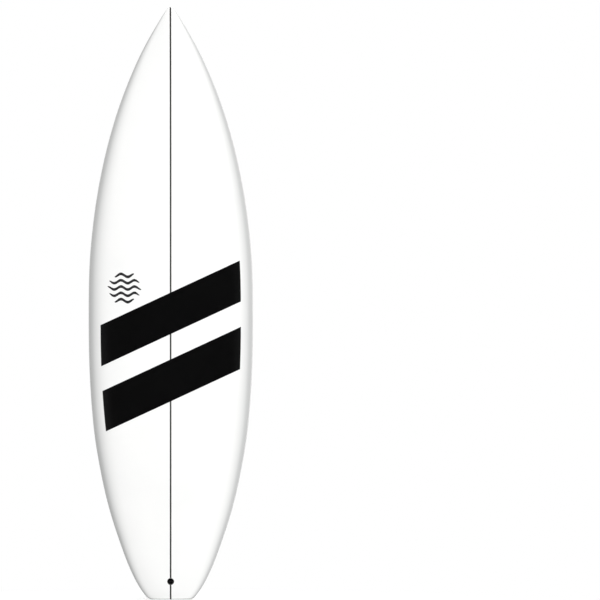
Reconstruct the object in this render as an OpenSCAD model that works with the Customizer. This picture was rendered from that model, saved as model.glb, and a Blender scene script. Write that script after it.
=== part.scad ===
// Shortboard surfboard: a foam blank split by a wooden stringer, a glassed
// deck skin and bottom skin, five single-slot fin boxes, four fitted fins,
// one grub screw to a box, and a leash cup with its bar.
// The board stands upright: +Z runs from the tail to the nose, the bottom
// and the fins face -Y, the deck faces +Y, and the stringer lies in X = 0.
// The origin is the middle of the flat tail end.

/* [Board] */
// Length from the tail end to the nose tip
board_len = 1829; // [1780:1:1880]
// Width at the widest point
board_w = 508; // [480:1:530]
// Thickness on the centre line at the thickest point
board_t = 66.7; // [60:0.1:72]
// Height of the nose tip above the flat middle of the bottom
nose_rocker = 118; // [100:1:130]
// Height of the tail above the flat middle of the bottom
tail_rocker = 40; // [30:1:48]
// Depth of the single concave under the middle of the board
concave = 2; // [0:0.5:4]
// Thickness of the glass skins
skin_t = 1; // [0.8:0.1:1.2]
// Width of the stringer
stringer_w = 4; // [3:0.5:6]

/* [Fin boxes] */
// Length of a fin slot
slot_len = 90; // [86:0.5:94]
// Width of a fin slot
slot_w = 6.6; // [6.2:0.1:7]
// Depth of a fin slot
slot_depth = 14; // [13.5:0.5:15]
// Distance of the front slots from the stringer
front_x = 146.6; // [135:0.1:150]
// Height of the middle of the front slots above the tail end
front_z = 304; // [290:1:320]
// Distance of the rear slots from the stringer
rear_x = 116; // [105:0.5:120]
// Height of the middle of the rear slots above the tail end
rear_z = 208; // [200:1:215]
// Height of the middle of the centre slot above the tail end
centre_z = 145; // [140:1:150]

/* [Fins] */
// Scale of the fin blade, where 1 is 125 mm deep
fin_scale = 1; // [0.9:0.01:1]
// Greatest thickness of the blade at its base
fin_t = 6.4; // [5.6:0.1:6.4]
// Outward lean of the blade, in degrees
fin_cant = 5; // [0:0.5:8]
// Depth of the tab in its slot
tab_depth = 12.6; // [12:0.1:12.8]

/* [Grub screws] */
// Outer diameter of the grub screw
screw_d = 5; // [4.8:0.1:5]
// Length of the grub screw
screw_len = 8.2; // [7:0.1:8.2]
// Angle between the screw's axis and the bottom, in degrees
screw_tilt = 38; // [36:1:40]
// Width across the flats of the hexagon socket
hex_af = 2.5; // [2:0.5:2.5]

/* [Leash cup] */
// Height of the leash cup above the tail end
cup_z = 55; // [50:1:60]
// Outer diameter of the leash cup
cup_d = 21; // [20:0.5:24]
// Inner diameter of the leash cup
cup_bore = 17; // [16:0.5:17]
// Depth of the leash cup
cup_depth = 20; // [18:0.5:20]
// Diameter of the bar
bar_d = 3; // [3:0.5:4]

/* [Hidden] */
$fn = 48;

white = [0.96, 0.96, 0.95];
foam_white = [0.93, 0.91, 0.84];
stain = [0.33, 0.30, 0.27];
box_white = [0.88, 0.88, 0.87];
fin_grey = [0.16, 0.16, 0.17];
steel = [0.72, 0.73, 0.75];
black = [0.03, 0.03, 0.03];

// gap between bonded pieces, so that none runs into its neighbour
bond = 0.05;
// gap between the blank and the skins, whose flat facets bow a little
foam_gap = 0.25;
kz = board_len / 1829;
kw = board_w / 508;
kt = board_t / 66.7;
// height at which the bottom is lowest
flat_z = 800 * kz;

// [height above the tail end, half width]
outline = [[0, 62], [3, 69.5], [8, 75.5], [16, 82], [30, 92], [60, 110], [100, 129], [150, 148],
    [200, 165.5], [260, 185], [320, 201], [400, 218], [500, 235], [600, 245], [700, 251],
    [790, 253.6], [880, 254], [970, 253.4], [1050, 250.5], [1150, 241.5], [1250, 227.5], [1350, 208],
    [1450, 182.5], [1540, 153.5], [1620, 122], [1680, 95], [1730, 68.5], [1770, 44.5], [1800, 26],
    [1817, 14.5], [1825, 8], [1829, 3.2]];
// [height above the tail end, thickness on the centre line]
depth = [[0, 24], [20, 28.5], [60, 33], [120, 38.5], [200, 44.8], [300, 51.6], [400, 57.4], [500, 61.8],
    [615, 65.2], [750, 66.7], [880, 66.7], [1000, 65.9], [1109, 64], [1200, 61.4], [1300, 57.8], [1400, 53],
    [1480, 48.2], [1542, 43.6], [1604, 37.8], [1666, 31.4], [1728, 24.6], [1775, 18.4], [1802, 13.6],
    [1820, 8.6], [1829, 5]];
// [height above the tail end, height of the rail's widest line as a share of the thickness]
apex = [[0, 0.34], [400, 0.34], [900, 0.38], [1400, 0.44], [1829, 0.5]];
// [height above the tail end, squareness of the bottom's edge]
edge = [[0, 16], [450, 16], [950, 9], [1400, 6.5], [1829, 3.5]];

// sections of the lofted board, as heights above the tail end
stations = [0, 3, 8, 14, 22, 34, 50, 70, 95, 120, 150, 180, 210, 240, 270, 300, 335, 370, 410, 450,
    500, 550, 600, 650, 700, 760, 820, 880, 940, 1000, 1060, 1120, 1180, 1230, 1280, 1330, 1380,
    1420, 1460, 1500, 1540, 1575, 1610, 1640, 1670, 1695, 1720, 1740, 1760, 1775, 1790, 1800, 1810,
    1817, 1823, 1827, 1829];
last = len(stations) - 1;

// smooth curve through a table of [position, value]
function seg(t, z, i = 0) = (i >= len(t) - 2 || z < t[i + 1][0]) ? i : seg(t, z, i + 1);
function rise(t, i) = (t[i + 1][1] - t[i][1]) / (t[i + 1][0] - t[i][0]);
function step(t, i) = t[i + 1][0] - t[i][0];
function slope(t, i) = i == 0 ? rise(t, 0)
    : i == len(t) - 1 ? rise(t, i - 1)
    : (rise(t, i - 1) * step(t, i) + rise(t, i) * step(t, i - 1)) / (step(t, i) + step(t, i - 1));
function curve(t, z) = let (i = seg(t, z), h = step(t, i), s = (z - t[i][0]) / h)
    (2 * s * s * s - 3 * s * s + 1) * t[i][1] + (s * s * s - 2 * s * s + s) * h * slope(t, i)
    + (3 * s * s - 2 * s * s * s) * t[i + 1][1] + (s * s * s - s * s) * h * slope(t, i + 1);

// half width, thickness and rocker at a height
function half_w(z) = kw * curve(outline, z / kz);
function thick(z) = kt * curve(depth, z / kz);
function rocker(z) = z < flat_z ? tail_rocker * pow(1 - z / flat_z, 2)
    : let (r = (z - flat_z) / (board_len - flat_z)) nose_rocker * (0.35 * r * r + 0.65 * pow(r, 4));
// the middle of the tail end is at Y = 0
y_ref = tail_rocker + kt * 12;
function y_keel(z) = rocker(z) - y_ref;
function hollow(z) = let (s = z / kz) (s < 450 || s > 1350) ? 0 : concave * pow(sin((s - 450) / 5), 2);
function rail_h(z) = thick(z) * curve(apex, z / kz);
// half width of the surface that lies a distance in from the outside
function in_w(z, off) = half_w(z) - off * (1 + 1.5 * max(0, 1 - z / 15));
// height of the bottom surface and of the deck surface, a distance in from the outside
function y_bottom(z, x, off) = y_keel(z) + off
    + (rail_h(z) - off) * (1 - sqrt(max(0, 1 - pow(min(1, abs(x) / in_w(z, off)), curve(edge, z / kz)))))
    + hollow(z) * pow(max(0, 1 - pow(abs(x) / (0.8 * half_w(z)), 2)), 2);
function y_deck(z, x, off) = y_keel(z) + rail_h(z)
    + (thick(z) - rail_h(z) - off) * pow(max(0, 1 - pow(min(1, abs(x) / in_w(z, off)), 2.3)), 1 / 1.7);
// the two skins meet a little inside the rail's lower edge
function seam(z) = 0.94 * half_w(z) - 1.2;

// points of half a section, from the keel round the rail to the middle of the deck
under = [0, 0.2, 0.4, 0.58, 0.73, 0.85, 0.94, 1];
tuck = [0.3, 0.55, 0.76, 0.92];
over = [0, 12, 24, 36, 48, 60, 72, 81, 90];
n_under = len(under);
n_half = len(under) + len(tuck) + len(over);
function bottom_pt(z, x, off) = [x, y_bottom(z, x, off), z];
function deck_pt(z, a, off) = let (w = in_w(z, off))
    [w * pow(cos(a), 2 / 2.3), y_keel(z) + rail_h(z) + (thick(z) - rail_h(z) - off) * pow(sin(a), 2 / 1.7), z];
function half_section(z, off) = let (x0 = seam(z), w = in_w(z, off)) concat(
    [for (f = under) bottom_pt(z, f * x0, off)],
    [for (f = tuck) bottom_pt(z, x0 + f * (w - x0), off)],
    [for (a = over) deck_pt(z, a, off)]);
function flip(p) = [-p[0], p[1], p[2]];

// heights of the inner sections: they stop short of the tail end and of the solid nose tip
function inner_z(z, gap) = z > 1810 * kz ? 1810 * kz + (z - 1810 * kz) * (8 - gap) / 19 : max(z, skin_t + gap);

// a deck section from one seam over the deck to the other
function deck_row(z, off) = let (h = half_section(z, off))
    concat([for (j = [n_under - 1 : n_half - 1]) h[j]], [for (j = [n_half - 2 : -1 : n_under - 1]) flip(h[j])]);
n_deck = 2 * (n_half - n_under) + 1;
// the row that closes the deck skin over its end, down to the bottom skin
function cap_row(z, zy) = let (w = 0.97 * seam(z)) [for (j = [0 : n_deck - 1])
    let (x = w * (1 - 2 * j / (n_deck - 1))) [x, y_bottom(zy, x, skin_t + bond), z]];
function bottom_row(z, off) = let (x0 = seam(z) - 2 * bond) concat(
    [for (j = [n_under - 1 : -1 : 1]) bottom_pt(z, -under[j] * x0, off)],
    [for (f = under) bottom_pt(z, f * x0, off)]);

// closed solid between an outer and an inner sheet of points
module shell(outer, inner) {
    n = len(outer);
    m = len(outer[0]);
    k = n * m;
    function quad(a, b, c, d) = [[a, b, c], [a, c, d]];
    points = concat([for (r = outer) each r], [for (r = inner) each r]);
    faces = concat(
        [for (i = [0 : n - 2]) for (j = [0 : m - 2]) each quad(i * m + j, i * m + j + 1, (i + 1) * m + j + 1, (i + 1) * m + j)],
        [for (i = [0 : n - 2]) for (j = [0 : m - 2]) each quad(k + i * m + j, k + (i + 1) * m + j, k + (i + 1) * m + j + 1, k + i * m + j + 1)],
        [for (i = [0 : n - 2]) each quad(i * m, (i + 1) * m, k + (i + 1) * m, k + i * m)],
        [for (i = [0 : n - 2]) each quad(i * m + m - 1, k + i * m + m - 1, k + (i + 1) * m + m - 1, (i + 1) * m + m - 1)],
        [for (j = [0 : m - 2]) each quad(j, k + j, k + j + 1, j + 1)],
        [for (j = [0 : m - 2]) each quad((n - 1) * m + j, (n - 1) * m + j + 1, k + (n - 1) * m + j + 1, k + (n - 1) * m + j)]);
    polyhedron(points, faces, convexity = 6);
}

// closed solid through rings of points, with flat ends
module loft(rings) {
    n = len(rings);
    m = len(rings[0]);
    points = [for (r = rings) each r];
    faces = concat(
        [for (i = [0 : n - 2]) for (j = [0 : m - 1]) let (a = i * m + j, b = i * m + (j + 1) % m) each
            [[a, b, b + m], [a, b + m, a + m]]],
        [[for (j = [m - 1 : -1 : 0]) j], [for (j = [0 : m - 1]) (n - 1) * m + j]]);
    polyhedron(points, faces, convexity = 6);
}

// frame of a fin box: X across the board, Y into it, Z along the slot
function pitch(z) = atan((rocker(z - 5) - rocker(z + 5)) / 10);
module on_bottom(x, z) translate([x, y_bottom(z, x, 0) + 0.1, z]) rotate([pitch(z), 0, 0]) children();

box_w = 20;
box_back = 52;
box_front = 66;
box_depth = 17.5;
// where the screw's axis meets the front wall of the slot
screw_y = 8;
tip_r = 1.5;
tip_len = 1.2;
tip_at = 1;

// rounded block of a fin box, a little larger for its pocket
module box_block(gap, above) {
    r = box_w / 2 + gap;
    translate([0, -above, 0]) rotate([-90, 0, 0]) linear_extrude(box_depth + gap + above) {
        translate([0, box_back - 10]) circle(r);
        translate([0, -(box_front - 10)]) circle(r);
        translate([-r, -(box_front - 10)]) square([2 * r, box_front + box_back - 20]);
    }
}
module screw_axis() translate([0, screw_y, slot_len / 2]) rotate([screw_tilt, 0, 0]) children();
module fin_box(x, z) color(box_white) on_bottom(x, z) difference() {
    box_block(0, 0);
    translate([-slot_w / 2, -1, -slot_len / 2]) cube([slot_w, slot_depth + 1, slot_len]);
    screw_axis() translate([0, 0, -1.2]) cylinder(h = 24, r = screw_d / 2 + 0.05);
}
module grub_screw(x, z) color(steel) on_bottom(x, z) screw_axis() difference() {
    union() {
        translate([0, 0, tip_at]) cylinder(h = tip_len + 0.3, r = tip_r);
        translate([0, 0, tip_at + tip_len]) cylinder(h = screw_len - tip_len, r = screw_d / 2);
    }
    translate([0, 0, tip_at + screw_len - 3]) cylinder(h = 4, r = hex_af / 2 / cos(30), $fn = 6);
}

// pockets routed into the blank
module pockets() {
    for (s = [-1, 1]) {
        on_bottom(s * front_x, front_z) box_block(bond, 8);
        on_bottom(s * rear_x, rear_z) box_block(bond, 8);
    }
    on_bottom(0, centre_z) box_block(bond, 8);
    at_cup() translate([0, 0, -cup_depth - bond]) cylinder(h = cup_depth + 8, r = cup_d / 2 + bond);
}

// frame of the leash cup: Z out of the deck
deck_pitch = atan((y_deck(cup_z + 5, 0, 0) - y_deck(cup_z - 5, 0, 0)) / 10);
module at_cup() translate([0, y_deck(cup_z, 0, 0), cup_z]) rotate([-90 - deck_pitch, 0, 0]) children();

// [station from base to tip, depth and set-back of the leading edge, depth and set-back of the trailing edge]
blade = [[0, 0, 0, 0, 89.4], [0.1, 16, 4.8, 10, 87.2], [0.2, 33, 11.6, 21, 85], [0.3, 49, 19.8, 32, 83.2],
    [0.4, 64, 28.6, 43, 82.4], [0.5, 78, 38.2, 54, 83.6], [0.6, 91, 48.4, 64.5, 87.6], [0.7, 102.6, 60, 74.5, 94],
    [0.8, 112.4, 73, 84, 102.4], [0.87, 118.6, 85.4, 91, 110.4], [0.93, 122.8, 98.6, 97, 118.4],
    [0.97, 124.6, 112, 102, 126.6], [0.985, 124.4, 120.4, 105.2, 132], [0.994, 122.6, 128.6, 108, 136.6],
    [1, 117, 138, 113, 140]];
function col(n) = [for (b = blade) [b[0], b[n]]];
// share of the chord, thickness share on the outer face, thickness share on the inner face
foil = [[0, 0.06, 0.06], [0.012, 0.26, 0.1], [0.04, 0.46, 0.14], [0.1, 0.66, 0.16], [0.2, 0.8, 0.16], [0.33, 0.84, 0.16],
    [0.48, 0.78, 0.16], [0.63, 0.62, 0.15], [0.78, 0.4, 0.12], [0.9, 0.2, 0.09], [1, 0.05, 0.05]];
blade_u = [0, 0.06, 0.13, 0.2, 0.27, 0.34, 0.41, 0.48, 0.55, 0.62, 0.69, 0.76, 0.82, 0.87, 0.91, 0.945, 0.97, 0.985, 0.994, 1];
function lerp(a, b, s) = a + (b - a) * s;
// thickness of the blade from base to tip
function blade_t(u) = fin_t * (1 - 0.72 * pow(u, 1.3)) * (u > 0.9 ? 1 - 0.45 * pow((u - 0.9) * 10, 2) : 1);
// a point of the blade: side is 1 on the outer face and -1 on the inner face
function blade_pt(u, f, side) = let (
        d = fin_scale * lerp(curve(col(1), u), curve(col(3), u), f[0]),
        a = lerp(curve(col(2), u), curve(col(4), u), f[0]) * lerp(1, fin_scale, u),
        x = side > 0 ? f[1] * blade_t(u) : -f[2] * blade_t(u),
        out = d - (u == 0 ? 1.2 : 0))
    [x - 0.34 * fin_t + out * tan(fin_cant), -0.4 - out, slot_len / 2 - 0.3 - a];
function blade_ring(u) = concat([for (f = foil) blade_pt(u, f, 1)],
    [for (i = [len(foil) - 1 : -1 : 0]) blade_pt(u, foil[i], -1)]);
// side is 1 on the left of the board, where the outer face looks to +X
module fin(side, x, z) color(fin_grey) on_bottom(side * x, z) mirror([side > 0 ? 0 : 1, 0, 0]) union() {
    loft([for (u = blade_u) blade_ring(u)]);
    translate([-3.2, -0.4, 0.2 - slot_len / 2]) cube([6.4, tab_depth + 0.4, slot_len - 0.4]);
}

// glass over the deck, round both rails and over the tail end, solid at the nose tip
module deck_laminate() color(white) difference() {
    shell(
        concat([cap_row(0, 0)], [for (s = stations) deck_row(s * kz, 0)], [cap_row(board_len, board_len)]),
        concat([cap_row(skin_t, skin_t)], [for (s = stations) deck_row(inner_z(s * kz, 0), skin_t)],
            [cap_row(inner_z(board_len, 0), inner_z(board_len, 0))]));
    at_cup() translate([0, 0, -8]) cylinder(h = 16, r = cup_d / 2 + bond);
}
// glass over the bottom, cut out round the fin boxes
module bottom_laminate() color(white) difference() {
    shell([for (s = stations) bottom_row(s * kz, 0)], [for (s = stations) bottom_row(s * kz, skin_t)]);
    pockets();
}
module foam(side) color(foam_white) difference() {
    loft([for (s = stations) let (z = inner_z(s * kz, bond), h = half_section(z, skin_t + foam_gap))
        [for (j = [0 : n_half - 1]) let (i = side > 0 ? n_half - 1 - j : j, x = max(h[i][0], stringer_w / 2 + bond))
            [side * x, h[i][1], h[i][2]]]]);
    pockets();
}
module foam_left() foam(1);
module foam_right() foam(-1);
// one plank on edge between the two halves of the blank
module stringer() color(stain) difference() {
    rotate([0, -90, 0]) linear_extrude(stringer_w, center = true) polygon(concat(
        [for (s = stations) let (z = inner_z(s * kz, 4 * bond)) [z, y_bottom(z, 0, skin_t + 3 * bond)]],
        [for (i = [last : -1 : 0]) let (z = inner_z(stations[i] * kz, 4 * bond)) [z, y_deck(z, 0, skin_t + 3 * bond)]]));
    pockets();
}

module fin_box_front_left() fin_box(front_x, front_z);
module fin_box_front_right() fin_box(-front_x, front_z);
module fin_box_rear_left() fin_box(rear_x, rear_z);
module fin_box_rear_right() fin_box(-rear_x, rear_z);
module fin_box_centre() fin_box(0, centre_z);
module fin_front_left() fin(1, front_x, front_z);
module fin_front_right() fin(-1, front_x, front_z);
module fin_rear_left() fin(1, rear_x, rear_z);
module fin_rear_right() fin(-1, rear_x, rear_z);
module grub_screw_front_left() grub_screw(front_x, front_z);
module grub_screw_front_right() grub_screw(-front_x, front_z);
module grub_screw_rear_left() grub_screw(rear_x, rear_z);
module grub_screw_rear_right() grub_screw(-rear_x, rear_z);
module grub_screw_centre() grub_screw(0, centre_z);

// plastic cup set flush into the deck, with a bar across it for the leash
module leash_cup() color(black) at_cup() difference() {
    translate([0, 0, -cup_depth]) cylinder(h = cup_depth + 0.15, r = cup_d / 2);
    translate([0, 0, -cup_depth + 2]) cylinder(h = cup_depth + 2, r = cup_bore / 2);
    translate([0, 0, -5.5]) rotate([0, 90, 0]) cylinder(h = cup_d - 1, r = bar_d / 2 + 0.02, center = true);
}
module leash_bar() color(steel) at_cup() translate([0, 0, -5.5]) rotate([0, 90, 0])
    cylinder(h = cup_d - 1.4, r = bar_d / 2, center = true);

deck_laminate();
bottom_laminate();
foam_left();
foam_right();
stringer();
fin_box_front_left();
fin_box_front_right();
fin_box_rear_left();
fin_box_rear_right();
fin_box_centre();
fin_front_left();
fin_front_right();
fin_rear_left();
fin_rear_right();
grub_screw_front_left();
grub_screw_front_right();
grub_screw_rear_left();
grub_screw_rear_right();
grub_screw_centre();
leash_cup();
leash_bar();
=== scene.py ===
import math

import bmesh
import bpy
import numpy as np
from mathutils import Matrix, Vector


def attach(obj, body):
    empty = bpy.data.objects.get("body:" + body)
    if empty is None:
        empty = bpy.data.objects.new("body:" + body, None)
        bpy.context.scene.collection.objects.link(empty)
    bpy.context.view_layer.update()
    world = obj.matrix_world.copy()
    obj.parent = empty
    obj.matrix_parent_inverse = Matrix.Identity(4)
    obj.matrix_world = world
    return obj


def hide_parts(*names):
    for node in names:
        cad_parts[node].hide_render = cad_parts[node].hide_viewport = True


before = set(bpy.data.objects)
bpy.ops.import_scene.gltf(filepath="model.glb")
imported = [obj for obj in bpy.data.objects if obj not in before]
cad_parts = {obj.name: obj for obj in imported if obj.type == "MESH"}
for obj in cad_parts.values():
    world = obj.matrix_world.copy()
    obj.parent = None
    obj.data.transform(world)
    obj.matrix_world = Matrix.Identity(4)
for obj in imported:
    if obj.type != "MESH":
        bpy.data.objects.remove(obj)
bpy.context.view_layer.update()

MM = 0.001
LEN = 1829.0

# ---------------------------------------------------------------- camera
# Square on to the deck, far away, so that the board reads as in a drawing.
cam_data = bpy.data.cameras.new("camera")
cam_data.lens = 600
cam_data.sensor_width = 36
cam_data.clip_start, cam_data.clip_end = 0.1, 200
camera = bpy.data.objects.new("camera", cam_data)
bpy.context.scene.collection.objects.link(camera)
CAM_X, CAM_Z, CAM_Y = -0.39978, 0.92496, 30.915
camera.location = (CAM_X, CAM_Y, CAM_Z)
camera.rotation_euler = (math.radians(90), 0, math.radians(180))
bpy.context.scene.camera = camera
bpy.context.scene.view_settings.view_transform = "Standard"
bpy.context.scene.view_settings.look = "None"

# ---------------------------------------------------------------- the board's surface, in mm
OUTLINE = [[0, 62], [3, 69.5], [8, 75.5], [16, 82], [30, 92], [60, 110], [100, 129], [150, 148],
    [200, 165.5], [260, 185], [320, 201], [400, 218], [500, 235], [600, 245], [700, 251],
    [790, 253.6], [880, 254], [970, 253.4], [1050, 250.5], [1150, 241.5], [1250, 227.5], [1350, 208],
    [1450, 182.5], [1540, 153.5], [1620, 122], [1680, 95], [1730, 68.5], [1770, 44.5], [1800, 26],
    [1817, 14.5], [1825, 8], [1829, 3.2]]
DEPTH = [[0, 24], [20, 28.5], [60, 33], [120, 38.5], [200, 44.8], [300, 51.6], [400, 57.4], [500, 61.8],
    [615, 65.2], [750, 66.7], [880, 66.7], [1000, 65.9], [1109, 64], [1200, 61.4], [1300, 57.8], [1400, 53],
    [1480, 48.2], [1542, 43.6], [1604, 37.8], [1666, 31.4], [1728, 24.6], [1775, 18.4], [1802, 13.6],
    [1820, 8.6], [1829, 5]]
APEX = [[0, 0.34], [400, 0.34], [900, 0.38], [1400, 0.44], [1829, 0.5]]
EDGE = [[0, 16], [450, 16], [950, 9], [1400, 6.5], [1829, 3.5]]
TAIL_ROCKER, NOSE_ROCKER, FLAT_Z, Y_REF, CONCAVE = 40.0, 118.0, 800.0, 52.0, 2.0
TAIL_R, NOSE_R, SKIN = 4.0, 2.3, 1.0


def hermite(table, z):
    """Smooth curve through a table of [position, value]."""
    t = np.array(table, float)
    x, y = t[:, 0], t[:, 1]
    h = np.diff(x)
    r = np.diff(y) / h
    m = np.empty(len(x))
    m[0], m[-1] = r[0], r[-1]
    m[1:-1] = (r[1:] * h[:-1] + r[:-1] * h[1:]) / (h[1:] + h[:-1])
    z = np.asarray(z, float)
    i = np.clip(np.searchsorted(x, z, side="right") - 1, 0, len(x) - 2)
    s = (z - x[i]) / h[i]
    return ((2 * s**3 - 3 * s**2 + 1) * y[i] + (s**3 - 2 * s**2 + s) * h[i] * m[i]
        + (3 * s**2 - 2 * s**3) * y[i + 1] + (s**3 - s**2) * h[i] * m[i + 1])


GRID = np.linspace(0, LEN, 7317)


def faired(table, widest):
    """The table's curve with its small kinks sanded out, less and less towards the ends."""
    v = hermite(table, GRID)
    sigma = np.minimum(widest, 0.28 * np.minimum(GRID, LEN - GRID))
    out, total = np.zeros_like(v), 0.0
    for k in np.linspace(-3, 3, 49):
        w = math.exp(-k * k / 2)
        out += w * np.interp(GRID + k * sigma, GRID, v)
        total += w
    return out / total


HALF, THICK, APEXES, EDGES = faired(OUTLINE, 26), faired(DEPTH, 26), faired(APEX, 40), faired(EDGE, 40)


def half_w(z):
    return np.interp(z, GRID, HALF)


def thick(z):
    return np.interp(z, GRID, THICK)


def edge(z):
    return np.interp(z, GRID, EDGES)


def keel(z):
    z = np.asarray(z, float)
    r = np.maximum(z - FLAT_Z, 0) / (LEN - FLAT_Z)
    return np.where(z < FLAT_Z, TAIL_ROCKER * (1 - z / FLAT_Z) ** 2, NOSE_ROCKER * (0.35 * r**2 + 0.65 * r**4)) - Y_REF


def hollow(z):
    z = np.asarray(z, float)
    return np.where((z < 450) | (z > 1350), 0.0, CONCAVE * np.sin(np.radians((z - 450) / 5)) ** 2)


def rail(z):
    return thick(z) * np.interp(z, GRID, APEXES)


def rounding(z):
    """How far the section draws in at the rounded tail end and nose tip."""
    z = np.asarray(z, float)
    t = np.clip((TAIL_R - z) / TAIL_R, 0, 1)
    n = np.clip((z - (LEN - NOSE_R)) / NOSE_R, 0, 1)
    return TAIL_R * (1 - np.sqrt(1 - t * t)) + NOSE_R * (1 - np.sqrt(1 - n * n))


def channel(z, x):
    return hollow(z) * np.maximum(0, 1 - (np.abs(x) / (0.8 * half_w(z))) ** 2) ** 2


def y_bottom(z, x, off=None):
    off = rounding(z) if off is None else off
    share = np.minimum(1, np.abs(x) / (half_w(z) - off))
    return keel(z) + off + (rail(z) - off) * (1 - np.sqrt(np.maximum(0, 1 - share ** edge(z)))) + channel(z, x)


def y_deck(z, x, off=None):
    off = rounding(z) if off is None else off
    share = np.minimum(1, np.abs(x) / (half_w(z) - off))
    return keel(z) + rail(z) + (thick(z) - rail(z) - off) * np.maximum(0, 1 - share**2.3) ** (1 / 1.7)


def gap_deck(x, y, z, off):
    q = (y - keel(z) - rail(z)) / (thick(z) - rail(z) - off)
    return np.sign(q) * np.abs(q) ** 1.7 + (np.abs(x) / (half_w(z) - off)) ** 2.3 - 1


def gap_bottom(x, y, z, off):
    s = (keel(z) + rail(z) + channel(z, x) - y) / (rail(z) - off)
    return s * s + (np.abs(x) / (half_w(z) - off)) ** edge(z) - 1


def normals(points, part=None):
    """Outward normals of the board's outer surface at points on it."""
    p = np.asarray(points, float).reshape(-1, 3)
    x, y, z = p[:, 0], p[:, 1], np.clip(p[:, 2], 0, LEN)
    off = rounding(z)
    out = np.zeros_like(p)
    if part is None:
        under = y < keel(z) + rail(z)
    else:
        under = np.full(len(p), part == "bottom")
    for mask, gap in ((under, gap_bottom), (~under, gap_deck)):
        if not mask.any():
            continue
        a, b, c, o = x[mask], y[mask], z[mask], off[mask]
        e, ez = 0.01, 0.8
        gx = (gap(a + e, b, c, o) - gap(a - e, b, c, o)) / (2 * e)
        gy = (gap(a, b + e, c, o) - gap(a, b - e, c, o)) / (2 * e)
        c0, c1 = np.clip(c - ez, 0, LEN), np.clip(c + ez, 0, LEN)
        gz = (gap(a, b, c1, o) - gap(a, b, c0, o)) / (c1 - c0)
        go = (gap(a, b, c, o + e) - gap(a, b, c, o - e)) / (2 * e)
        t = np.clip((TAIL_R - c) / TAIL_R, 0, 1)
        n = np.clip((c - (LEN - NOSE_R)) / NOSE_R, 0, 1)
        s = np.sqrt(np.maximum(0, 1 - np.maximum(t, n) ** 2))
        out[mask] = np.stack([gx * s, gy * s, gz * s + (n - t) * go], 1)
    size = np.linalg.norm(out, axis=1)
    size[size < 1e-12] = 1
    return out / size[:, None]


# ---------------------------------------------------------------- frames of the fin boxes and the leash cup, as in the CAD part
FRONT_X, FRONT_Z, REAR_X, REAR_Z, CENTRE_Z = 146.6, 304.0, 116.0, 208.0, 145.0
BOXES = {"front_left": (FRONT_X, FRONT_Z), "front_right": (-FRONT_X, FRONT_Z), "rear_left": (REAR_X, REAR_Z),
    "rear_right": (-REAR_X, REAR_Z), "centre": (0.0, CENTRE_Z)}
CUP_Z = 55.0


def box_seat(x, z):
    """Height of a fin box's face on the bottom, in mm, and its pitch."""
    w, r = hermite(OUTLINE, z), hermite(DEPTH, z) * hermite(APEX, z)
    y0 = float(keel(z) + r * (1 - math.sqrt(1 - (abs(x) / w) ** hermite(EDGE, z))) + 0.1)
    return y0, math.atan(float(keel(z - 5) - keel(z + 5)) / 10)


def on_bottom(x, z, local):
    """Points of a fin box's own frame (X across, Y into the board, Z along the slot) in the row frame, in mm."""
    y0, p = box_seat(x, z)
    q = np.asarray(local, float)
    return np.stack([x + q[..., 0], y0 + q[..., 1] * math.cos(p) - q[..., 2] * math.sin(p),
        z + q[..., 1] * math.sin(p) + q[..., 2] * math.cos(p)], -1)


CUP_Y = float(hermite(DEPTH, CUP_Z) + keel(CUP_Z))
CUP_PITCH = math.atan(float(hermite(DEPTH, CUP_Z + 5) + keel(CUP_Z + 5) - hermite(DEPTH, CUP_Z - 5) - keel(CUP_Z - 5)) / 10)


def at_cup(local):
    """Points of the leash cup's frame (Z out of the deck) in the row frame, in mm."""
    q = np.asarray(local, float)
    a = math.radians(-90) - CUP_PITCH
    c, s = math.cos(a), math.sin(a)
    return np.stack([q[..., 0], CUP_Y + q[..., 1] * c - q[..., 2] * s, CUP_Z + q[..., 1] * s + q[..., 2] * c], -1)


# ---------------------------------------------------------------- mesh helpers
SCENE = bpy.context.scene


def add_object(name, mesh):
    ob = bpy.data.objects.new(name, mesh)
    SCENE.collection.objects.link(ob)
    return ob


def make_mesh(name, verts_mm, faces, index=None):
    mesh = bpy.data.meshes.new(name)
    mesh.from_pydata((np.asarray(verts_mm, float) * MM).tolist(), [], faces)
    if index is not None:
        mesh.polygons.foreach_set("material_index", np.asarray(index, np.int32))
    mesh.polygons.foreach_set("use_smooth", [True] * len(mesh.polygons))
    mesh.update()
    return mesh


def grid_faces(n, m, base=0, turn=False):
    i, j = np.meshgrid(np.arange(n - 1), np.arange(m - 1), indexing="ij")
    a = base + i * m + j
    q = np.stack([a, a + 1, a + m + 1, a + m], -1).reshape(-1, 4)
    return (q[:, ::-1] if turn else q).tolist()


def cut(ob, *cutters):
    """Takes the cutters out of ob and removes them."""
    for c in cutters:
        mod = ob.modifiers.new("cut", "BOOLEAN")
        mod.operation, mod.solver, mod.object = "DIFFERENCE", "EXACT", c
        mod.material_mode = "INDEX"
    apply_all(ob)
    for c in cutters:
        bpy.data.objects.remove(c)


def apply_all(ob):
    dg = bpy.context.evaluated_depsgraph_get()
    dg.update()
    mesh = bpy.data.meshes.new_from_object(ob.evaluated_get(dg))
    old = ob.data
    ob.modifiers.clear()
    ob.data = mesh
    if old.users == 0:
        bpy.data.meshes.remove(old)


# [distance in from the outline, shade factor of the white]: painted shade, a soft grey band just inside each rail
# standing in for the rails turning away from the light
DECK_PAINTED_SHADE = [[0, 1], [1.2, 0.78], [2.8, 0.6], [6, 0.56], [10, 0.58], [18, 0.72], [32, 0.88], [50, 0.975], [66, 1], [80, 1]]
BOTTOM_PAINTED_SHADE = [[0, 1], [3, 0.92], [6.5, 0.76], [13, 0.76], [24, 0.86], [45, 0.97], [60, 1]]


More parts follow.
